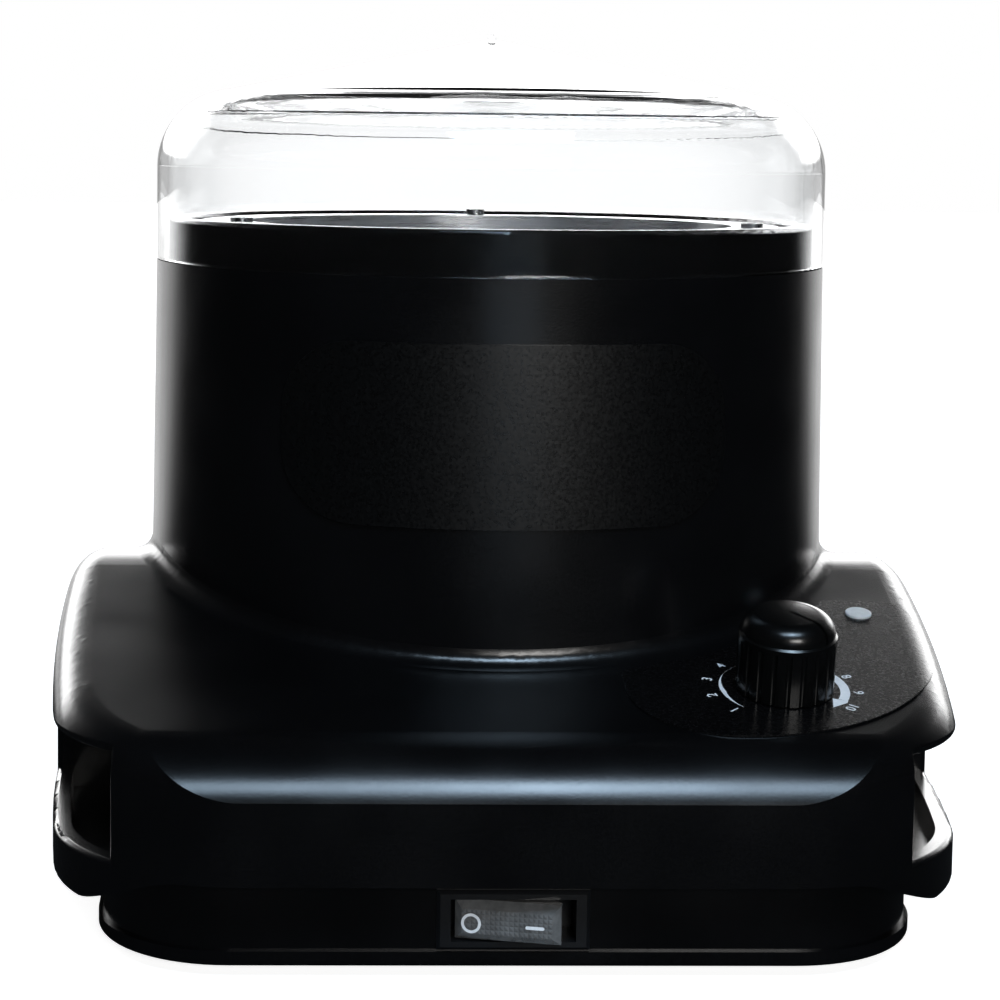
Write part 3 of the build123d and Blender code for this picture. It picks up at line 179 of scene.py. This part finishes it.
def clear(name):
    """The lid: injection-moulded clear plastic with faint flow waves, fine wipe marks, and painted
    dark shade where its faces are seen edge-on.
    """
    m = Build(name)
    flow = m.noise(34.0, 2.0, 0.4, m.stretched((1.0, 1.0, 0.45)))
    wipes = m.noise(1.0, 3.0, 0.6, m.stretched((260.0, 260.0, 38.0)))
    facing = m.nodes.new("ShaderNodeLayerWeight")
    facing.inputs["Blend"].default_value = 0.5
    # Painted shade: the colour turns dark grey where the lid's faces turn edge-on to the view,
    # drawing dark lines along its outlines.
    painted_edge_shade = m.span(facing.outputs["Facing"], 0.90, 0.975, 1.0, 0.25)
    m.colour(m.math("MULTIPLY", m.span(flow, 0.3, 0.7, 0.9, 1.0), painted_edge_shade),
             (0.0, (0.20, 0.21, 0.23)), (0.85, (0.972, 0.984, 0.992)), (1.0, (0.99, 0.995, 1.0)))
    m.roughness(wipes, 0.004, 0.03, 0.45, 0.75)
    m.bump(flow, 0.3, 0.0006)
    m.put(IOR=1.49, Transmission_Weight=1.0)
    return m.material


def smoky(name):
    """The rocker: smoke-grey translucent plastic."""
    m = Build(name)
    haze = m.noise(420.0, 3.0, 0.6)
    m.colour(haze, (0.3, (0.15, 0.15, 0.15)), (0.7, (0.24, 0.24, 0.24)))
    m.roughness(m.noise(900.0), 0.12, 0.26)
    m.bump(haze, 0.2, 0.00002)
    m.put(IOR=1.57, Transmission_Weight=0.35, Coat_Weight=0.4, Coat_Roughness=0.05)
    return m.material


def lens(name):
    """The indicator's cover: pale translucent plastic."""
    m = Build(name)
    haze = m.noise(700.0, 3.0, 0.55)
    m.colour(haze, (0.3, (0.55, 0.565, 0.57)), (0.7, (0.66, 0.67, 0.675)))
    m.roughness(m.noise(1400.0), 0.28, 0.42)
    m.bump(m.cells(1600.0), 0.2, 0.00001)
    m.put(IOR=1.5, Subsurface_Weight=0.15, Subsurface_Scale=0.001)
    return m.material


def glass(name):
    """The lamp behind it: clear glass with an orange tinge."""
    m = Build(name)
    m.colour(m.noise(200.0), (0.3, (0.9, 0.62, 0.42)), (0.7, (0.95, 0.7, 0.5)))
    m.roughness(m.noise(500.0), 0.02, 0.09)
    m.bump(m.noise(300.0), 0.1, 0.00005)
    m.put(IOR=1.5, Transmission_Weight=0.9)
    return m.material


def felt(name):
    """Needled mineral felt around the well."""
    m = Build(name)
    fibres = m.noise(1.0, 6.0, 0.75, m.stretched((900.0, 900.0, 240.0)), distortion=1.2)
    tufts = m.noise(160.0, 4.0, 0.6)
    m.colour(m.blend(fibres, 0.6, tufts, 0.4),
             (0.3, (0.55, 0.53, 0.47)), (0.7, (0.82, 0.80, 0.74)))
    m.roughness(fibres, 0.85, 1.0)
    m.bump(fibres, 0.9, 0.0003)
    m.put(Sheen_Weight=0.35, Sheen_Roughness=0.5)
    return m.material


def rubber(name, dark, light):
    """Matt rubber, silicone or potting."""
    m = Build(name)
    fine = m.noise(1800.0, 3.0, 0.6)
    m.colour(m.blend(fine, 0.5, m.noise(70.0), 0.5), (0.3, dark), (0.7, light))
    m.roughness(fine, 0.62, 0.86)
    m.bump(fine, 0.5, 0.00003)
    m.put(IOR=1.5)
    return m.material


def ink(name):
    """Screen-printed white ink, a little uneven, with the film's texture showing through."""
    m = Build(name)
    m.colour(m.noise(900.0, 4.0, 0.6), (0.3, (0.78, 0.80, 0.84)), (0.7, (0.90, 0.91, 0.93)))
    m.roughness(m.noise(1500.0), 0.38, 0.6)
    m.bump(m.noise(2200.0), 0.3, 0.00001)
    m.put(IOR=1.5)
    return m.material


def grey(value):
    return value, value, value


EVEN = (500.0, 500.0, 500.0)  # stretches for cast or plated metal without long lines
TURNED = (700.0, 700.0, 200.0)
MATERIALS = (
    (plastic, "housing_black", (0.0012, 0.0012, 0.0014), (0.0028, 0.0028, 0.0032), (0.20, 0.27)),
    (clear, "clear_lid"),
    (film, "label_film", (0.0014, 0.0013, 0.0015), (0.0040, 0.0037, 0.0040), (0.20, 0.30)),
    (film, "plaque_film", (0.0010, 0.0010, 0.0011), (0.0022, 0.0022, 0.0023), (0.26, 0.36), 1400.0),
    (plastic, "knob_black", grey(0.0012), grey(0.0024), (0.18, 0.26), 3200.0, 0.000006),
    (lens, "lens_grey"),
    (glass, "lamp_glass"),
    (plastic, "switch_black", (0.0042, 0.0045, 0.0055), (0.0078, 0.0084, 0.0098), (0.28, 0.38),
     3400.0, 0.000005),
    (smoky, "rocker_grey"),
    (rubber, "foot_rubber", grey(0.008), grey(0.02)),
    (rubber, "gasket_rubber", (0.22, 0.045, 0.03), (0.34, 0.075, 0.05)),
    (metal, "well_aluminium", (0.58, 0.58, 0.59), (0.80, 0.80, 0.81), (0.22, 0.42)),
    (metal, "rack_aluminium", (0.62, 0.62, 0.63), (0.84, 0.84, 0.85), (0.25, 0.45),
     (2000.0, 40.0, 40.0)),
    (metal, "heater_steel", (0.34, 0.32, 0.30), (0.58, 0.56, 0.53), (0.28, 0.5),
     (60.0, 60.0, 900.0), 0.2),
    (metal, "plated_steel", (0.48, 0.49, 0.50), (0.70, 0.71, 0.73), (0.2, 0.36), EVEN),
    (felt, "insulation_felt"),
    (rubber, "fuse_ceramic", (0.62, 0.58, 0.50), (0.80, 0.77, 0.70)),
    (metal, "copper", (0.55, 0.24, 0.13), (0.80, 0.42, 0.27), (0.2, 0.4), (900.0, 60.0, 60.0), 0.2),
    (metal, "brass", (0.52, 0.37, 0.13), (0.78, 0.60, 0.28), (0.22, 0.38), TURNED, 0.1),
    (plastic, "inner_plastic", (0.60, 0.57, 0.50), (0.78, 0.76, 0.69), (0.4, 0.55), 1500.0),
)
SLOTS = {name: maker(name, *values) for maker, name, *values in MATERIALS}
INK = ink("print_white")

for part in frame["record"]["subparts"]:
    obj = frame["nodes"][part["node"]]
    obj.data.materials.clear()
    obj.data.materials.append(SLOTS[part["material_slot"]])

# ---------------------------------------------------------------- dial print


def mesh_piece(name, vertices, faces, matrix, material, body):
    """A mesh in millimetres of its own plane, set in the frame and riding a body."""
    data = bpy.data.meshes.new(name)
    data.from_pydata([matrix @ (Vector(v) * MM) for v in vertices], [], faces)
    data.update()
    data.materials.append(material)
    piece = bpy.data.objects.new(name, data)
    bpy.context.scene.collection.objects.link(piece)
    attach(piece, body)


def plate(outline_a, outline_b, low, high):
    """A closed strip between two lines of (x, y) points, from low to high."""
    n = len(outline_a)
    top = 2 * n
    vertices, faces = [], []
    for z in (low, high):
        vertices += [(x, y, z) for x, y in outline_a] + [(x, y, z) for x, y in outline_b]
    for i in range(n - 1):
        a, b, c, d = i, i + 1, n + i + 1, n + i
        faces += [(a, d, c, b), (top + a, top + b, top + c, top + d)]
        faces += [(a, b, top + b, top + a), (c, d, top + d, top + c)]
    faces += [(0, top, top + n, n), (n - 1, top - 1, top + 2 * n - 1, top + n - 1)]
    return vertices, faces


TILT = math.radians(11.4)  # the deck's slope
DECK_Z = 66.5  # its height over the middle of the base
DIAL_X, DIAL_Y = 56.5, -75.4  # the knob's axis on it
DIAL_Z = DECK_Z - abs(DIAL_Y) * math.tan(TILT)
LABEL_TOP = 0.3  # the label's face above the deck
PRINT_LOW, PRINT_HIGH = LABEL_TOP + 0.005, LABEL_TOP + 0.03
deck = Matrix((
    (1, 0, 0, DIAL_X * MM),
    (0, math.cos(TILT), -math.sin(TILT), DIAL_Y * MM),
    (0, math.sin(TILT), math.cos(TILT), DIAL_Z * MM),
    (0, 0, 0, 1),
))


def dial_point(radius, clockwise):
    """A point of the dial, at an angle in degrees from the side away from the user."""
    turn = math.radians(clockwise)
    return radius * math.sin(turn), radius * math.cos(turn)


CRESCENT_R = 13.3
CRESCENT_STEPS = 120
# Widths of the line round the knob at (degrees, width): it swells to the left, runs on as a
# hairline behind the knob, and swells again to the arrow.
CRESCENT = ((227.0, 0.03), (262.0, 1.0), (300.0, 0.03), (360.0, 0.03), (421.0, 1.95), (477.0, 1.95))


def crescent_width(clockwise):
    for (a, wide_a), (b, wide_b) in zip(CRESCENT, CRESCENT[1:]):
        if clockwise <= b:
            return wide_a + (wide_b - wide_a) * (clockwise - a) / (b - a)
    return CRESCENT[-1][1]


crescent_start, crescent_end = CRESCENT[0][0], CRESCENT[-1][0]
sweep = crescent_end - crescent_start
steps = [crescent_start + sweep * i / CRESCENT_STEPS for i in range(CRESCENT_STEPS + 1)]
outer = [dial_point(CRESCENT_R, s) for s in steps]
inner = [dial_point(CRESCENT_R - crescent_width(s), s) for s in steps]
vertices, faces = plate(inner, outer, PRINT_LOW, PRINT_HIGH)
ARROW_HEAD = ((11.9, -6.1), (9.0, -4.9), (8.3, -9.0), (11.6, -6.9))
HEAD_LIFT = 0.001  # over the crescent's end, so that no two faces lie in one plane
base = len(vertices)
for z in (PRINT_LOW + HEAD_LIFT, PRINT_HIGH + HEAD_LIFT):
    vertices += [(x, y, z) for x, y in ARROW_HEAD]
faces += [(base, base + 1, base + 2, base + 3), (base + 7, base + 6, base + 5, base + 4)]
faces += [(base + i, base + 4 + i, base + 4 + (i + 1) % 4, base + (i + 1) % 4) for i in range(4)]
mesh_piece("dial_arrow", vertices, faces, deck, INK, "base")

NUMBERS = 10
NUMBER_R, NUMBER_HEIGHT = 15.4, 2.2
NUMBER_SHIFT = -0.4  # their circle, left of the knob's axis
NUMBER_START, NUMBER_STEP = 228.0, 28.7  # degrees
NUMBER_RISE, NUMBER_THICKNESS = 0.018, 3  # middle above the label, and millimetres per unit
vertices, faces = [], []
for number in range(1, NUMBERS + 1):
    curve = bpy.data.curves.new(f"number_{number}", "FONT")
    curve.body = str(number)
    curve.size = 1.0
    curve.extrude = 0.004
    curve.offset = 0.012
    curve.resolution_u = 4
    text = bpy.data.objects.new(curve.name, curve)
    bpy.context.scene.collection.objects.link(text)
    shape = bpy.data.meshes.new_from_object(text)
    xs = [v.co.x for v in shape.vertices]
    ys = [v.co.y for v in shape.vertices]
    scale = NUMBER_HEIGHT / (max(ys) - min(ys))
    mid_x, mid_y = (max(xs) + min(xs)) / 2, (max(ys) + min(ys)) / 2
    turn = math.radians(NUMBER_START + NUMBER_STEP * (number - 1))
    base = len(vertices)
    for v in shape.vertices:
        right, out = (v.co.x - mid_x) * scale, (v.co.y - mid_y) * scale + NUMBER_R
        vertices.append((
            NUMBER_SHIFT + right * math.cos(turn) + out * math.sin(turn),
            -right * math.sin(turn) + out * math.cos(turn),
            LABEL_TOP + NUMBER_RISE + v.co.z * NUMBER_THICKNESS,
        ))
    faces += [tuple(base + i for i in polygon.vertices) for polygon in shape.polygons]
    bpy.data.objects.remove(text)
    bpy.data.curves.remove(curve)
    bpy.data.meshes.remove(shape)
mesh_piece("dial_numbers", vertices, faces, deck, INK, "base")

# --------------------------------------------------------- rocker face and marks
REST = math.radians(-12.0)  # switched off, its left end pressed in
PIVOT = Vector((0, -96.0, 11.7)) * MM
FACE_REACH = 6.85  # from the pivot to the face
FLAT_X, FLAT_Z = 8.9, 2.45  # half sizes of the ribbed field
# The rocker's own plane: x along it, y up, z out of its face.
rocker = Matrix.Translation(PIVOT) @ Matrix.Rotation(REST, 4, "Z") @ Matrix((
    (1, 0, 0, 0),
    (0, 0, -1, -FACE_REACH * MM),
    (0, 1, 0, 0),
    (0, 0, 0, 1),
))
COLUMNS, ROWS = 19, 5
RISE, FOOT = 0.26, 0.005  # the prisms' tips and feet above the face
vertices, faces = [], []
pitch_x, pitch_z = 2 * FLAT_X / COLUMNS, 2 * FLAT_Z / ROWS
for i in range(COLUMNS + 1):
    for j in range(ROWS + 1):
        vertices.append((i * pitch_x - FLAT_X, j * pitch_z - FLAT_Z, FOOT))
for i in range(COLUMNS):
    for j in range(ROWS):
        a = i * (ROWS + 1) + j
        corners = (a, a + ROWS + 1, a + ROWS + 2, a + 1)
        tip = len(vertices)
        vertices.append(((i + 0.5) * pitch_x - FLAT_X, (j + 0.5) * pitch_z - FLAT_Z, RISE))
        faces += [(corners[k], corners[(k + 1) % 4], tip) for k in range(4)]
mesh_piece("rocker_prisms", vertices, faces, rocker, SLOTS["rocker_grey"], "rocker")

MARK_LOW, MARK_HIGH = RISE - 0.02, RISE + 0.03
MARK_Z = -0.3
RING_STEPS, RING_X, RING_OUT, RING_IN = 64, -6.95, 1.95, 1.4


def ring_line(radius):
    turns = [2 * math.pi * i / RING_STEPS for i in range(RING_STEPS + 1)]
    return [(RING_X + radius * math.cos(s), MARK_Z + radius * math.sin(s)) for s in turns]


vertices, faces = plate(ring_line(RING_IN), ring_line(RING_OUT), MARK_LOW, MARK_HIGH)
mesh_piece("rocker_ring", vertices, faces, rocker, INK, "rocker")

DASH_X, DASH_Z, DASH_HALF, DASH_R, DASH_STEPS = 5.5, MARK_Z - 0.1, 1.85, 0.33, 16
upper, lower = [], []
for i in range(DASH_STEPS + 1):
    s = math.pi * i / DASH_STEPS
    x = DASH_X - (DASH_HALF - DASH_R) * math.copysign(1, math.cos(s)) - DASH_R * math.cos(s)
    upper.append((x, DASH_Z + DASH_R * math.sin(s)))
    lower.append((x, DASH_Z - DASH_R * math.sin(s)))
vertices, faces = plate(lower, upper, MARK_LOW, MARK_HIGH)
mesh_piece("rocker_dash", vertices, faces, rocker, INK, "rocker")

# ------------------------------------------------------------ floor, world, lamps
# What lights the object and shows in reflections; each pair of angles is where a soft edge
# begins and ends.
STUDIO_DARK = 0.012
BACKDROP = 6.5  # the lit backdrop behind the object
BACKDROP_SIDES = (math.radians(37), math.radians(55))  # its ends, left and right
BACKDROP_FOOT = (math.radians(3), math.radians(7))
BACKDROP_FOOT_SHARE = 0.08  # of its brightness, below its foot
BACKDROP_TOP = (math.radians(18), math.radians(28))
FLOOR_BEHIND = 1.25  # the lit floor behind the object
FLOOR_BEHIND_REACH = (0.15, 0.5)  # metres from the origin
FLOOR_PAINTED_DARK_IN_REFLECTIONS = 0.02  # the floor's colour in reflections, painted near black: a painted shade in place of its white
# What the camera sees behind the object, also through the lid.
SEEN_TOP = (math.radians(40), math.radians(60))
SEEN_DARK = 0.5  # above that
SEEN_THROUGH_LID = 1.2  # makes up for what the lid's faces turn back
GLOW_NEAR, GLOW_FAR = 0.86, 1.05  # the floor's glow, near the object and far
GLOW_REACH = (0.3, 1.2)  # metres
FLOOR_HALF = 6.0


class WorldBuild(Build):
    """The same calls for the world's node tree."""

    def __init__(self, world):
        world.use_nodes = True
        self.tree = world.node_tree
        self.nodes = self.tree.nodes


def behind(build, vector):
    """1 towards the backdrop behind the object, 0 in front of it."""
    split = build.nodes.new("ShaderNodeSeparateXYZ")
    build.link(vector, split.inputs["Vector"])
    azimuth = build.math("ARCTAN2", build.math("ABSOLUTE", split.outputs["X"]), split.outputs["Y"])
    return build.span(azimuth, *BACKDROP_SIDES, 1.0, 0.0)


def mix(build, share, low, high):
    """low where share is 0, high where it is 1."""
    node = build.nodes.new("ShaderNodeMix")
    node.clamp_factor = False
    for socket, value in ((node.inputs[0], share), (node.inputs[2], low), (node.inputs[3], high)):
        if isinstance(value, (int, float)):
            socket.default_value = value
        else:
            build.link(value, socket)
    return node.outputs[0]


def first_sight(build):
    """1 for the camera's own rays, also through the lid, and the gain for the latter."""
    path = build.nodes.new("ShaderNodeLightPath")
    direct = build.math("LESS_THAN", path.outputs["Glossy Depth"], 0.5)
    through = build.math("MULTIPLY", path.outputs["Is Transmission Ray"], direct)
    gain = build.math("ADD", 1.0, build.math("MULTIPLY", through, SEEN_THROUGH_LID - 1.0))
    return build.math("MAXIMUM", path.outputs["Is Camera Ray"], through), gain


world = bpy.data.worlds.new("studio")
bpy.context.scene.world = world
w = WorldBuild(world)
background = next(n for n in w.nodes if n.type == "BACKGROUND")
background.inputs["Color"].default_value = (1.0, 1.0, 1.0, 1.0)
where = w.nodes.new("ShaderNodeTexCoord").outputs["Generated"]
split = w.nodes.new("ShaderNodeSeparateXYZ")
w.link(where, split.inputs["Vector"])
elevation = w.math("ARCSINE", split.outputs["Z"])
lit = w.math("MULTIPLY", behind(w, where), w.span(elevation, *BACKDROP_TOP, BACKDROP, 0.0))
lit = w.math("MULTIPLY", lit, w.span(elevation, *BACKDROP_FOOT, BACKDROP_FOOT_SHARE, 1.0))
seen = w.span(elevation, *SEEN_TOP, 1.0, SEEN_DARK)
sight, gain = first_sight(w)
w.link(mix(w, sight, w.math("ADD", lit, STUDIO_DARK), w.math("MULTIPLY", seen, gain)),
       background.inputs["Strength"])

floor_mesh = bpy.data.meshes.new("floor")
grid = bmesh.new()
bmesh.ops.create_grid(grid, x_segments=8, y_segments=8, size=FLOOR_HALF)
grid.to_mesh(floor_mesh)
grid.free()
floor = bpy.data.objects.new("floor", floor_mesh)
bpy.context.scene.collection.objects.link(floor)
f = Build("floor_white")
ground = f.nodes.new("ShaderNodeNewGeometry").outputs["Position"]
paper = f.span(f.noise(9.0, 2.0), 0.2, 0.8, 0.84, 0.87)
length = f.nodes.new("ShaderNodeVectorMath")
length.operation = "LENGTH"
f.link(ground, length.inputs[0])
away = length.outputs["Value"]
# Painted shade: for reflected rays the floor's colour is painted near black, so that its
# reflections in the housing show dark.
is_glossy = f.nodes.new("ShaderNodeLightPath").outputs["Is Glossy Ray"]
floor_paper_and_painted_dark = f.nodes.new("ShaderNodeCombineColor")
for channel in ("Red", "Green", "Blue"):
    f.link(mix(f, is_glossy, paper, FLOOR_PAINTED_DARK_IN_REFLECTIONS), floor_paper_and_painted_dark.inputs[channel])
f.link(floor_paper_and_painted_dark.outputs["Color"], f.shader.inputs["Base Color"])
f.put(Roughness=0.9, Specular_IOR_Level=0.0)
glow = f.nodes.new("ShaderNodeEmission")
lit = f.math("MULTIPLY", behind(f, ground), f.span(away, *FLOOR_BEHIND_REACH, 0.0, FLOOR_BEHIND))
sight, gain = first_sight(f)
shown = f.math("MULTIPLY", gain, f.span(away, *GLOW_REACH, GLOW_NEAR, GLOW_FAR))
f.link(mix(f, sight, lit, shown), glow.inputs["Strength"])
both = f.nodes.new("ShaderNodeAddShader")
f.link(f.shader.outputs["BSDF"], both.inputs[0])
f.link(glow.outputs["Emission"], both.inputs[1])
f.link(both.outputs["Shader"], f.output.inputs["Surface"])
floor.data.materials.append(f.material)


def lamp(name, place, target, size, power, colour):
    """A soft rectangular light, in metres and watts, that the camera doesn't see."""
    data = bpy.data.lights.new(name, "AREA")
    data.shape = "RECTANGLE"
    data.size, data.size_y = size
    data.energy = power
    data.color = colour
    obj = bpy.data.objects.new(name, data)
    obj.location = place
    way = Vector(target) - Vector(place)
    obj.rotation_euler = way.to_track_quat("-Z", "Y").to_euler()
    obj.visible_camera = False
    bpy.context.scene.collection.objects.link(obj)


COOL, NEUTRAL = (0.60, 0.80, 1.0), (1.0, 0.98, 0.95)
ABOVE_FRONT = (0, -0.05, 0.05)
lamp("softbox_wide", (0.09, -0.85, 1.15), ABOVE_FRONT, (0.8, 0.28), 7.4, COOL)
lamp("softbox_middle", (0.13, -0.84, 1.14), ABOVE_FRONT, (0.24, 0.28), 3.4, COOL)
lamp("fill_front", (0.35, -1.6, 0.54), (0, 0, 0.08), (0.6, 0.3), 9.0, NEUTRAL)
lamp("strip_low_front", (0.10, -1.3, 0.03), (0, 0, 0.1), (0.4, 0.05), 0.12, COOL)

# --------------------------------------------------------------------- camera
CAMERA_PLACE = (-0.030553, -0.518369, 0.159725)
YAW, PITCH, ROLL = 0.0310, 0.0808, 0.0125  # radians
camera_data = bpy.data.cameras.new("camera")
camera_data.sensor_width = 36.0
camera_data.lens = 79.73
camera_data.shift_x = 0.07
camera_data.shift_y = -0.168
camera_data.clip_end = 50.0
camera = bpy.data.objects.new("camera", camera_data)
bpy.context.scene.collection.objects.link(camera)
ahead = Vector((math.sin(YAW) * math.cos(PITCH), math.cos(YAW) * math.cos(PITCH), -math.sin(PITCH)))
level = Vector((math.cos(YAW), -math.sin(YAW), 0))
above = level.cross(ahead)
right = math.cos(ROLL) * level + math.sin(ROLL) * above
up = -math.sin(ROLL) * level + math.cos(ROLL) * above
turned = Matrix((right, up, -ahead)).transposed().to_4x4()
camera.matrix_world = Matrix.Translation(CAMERA_PLACE) @ turned
bpy.context.scene.camera = camera
bpy.context.scene.view_settings.view_transform = "Standard"
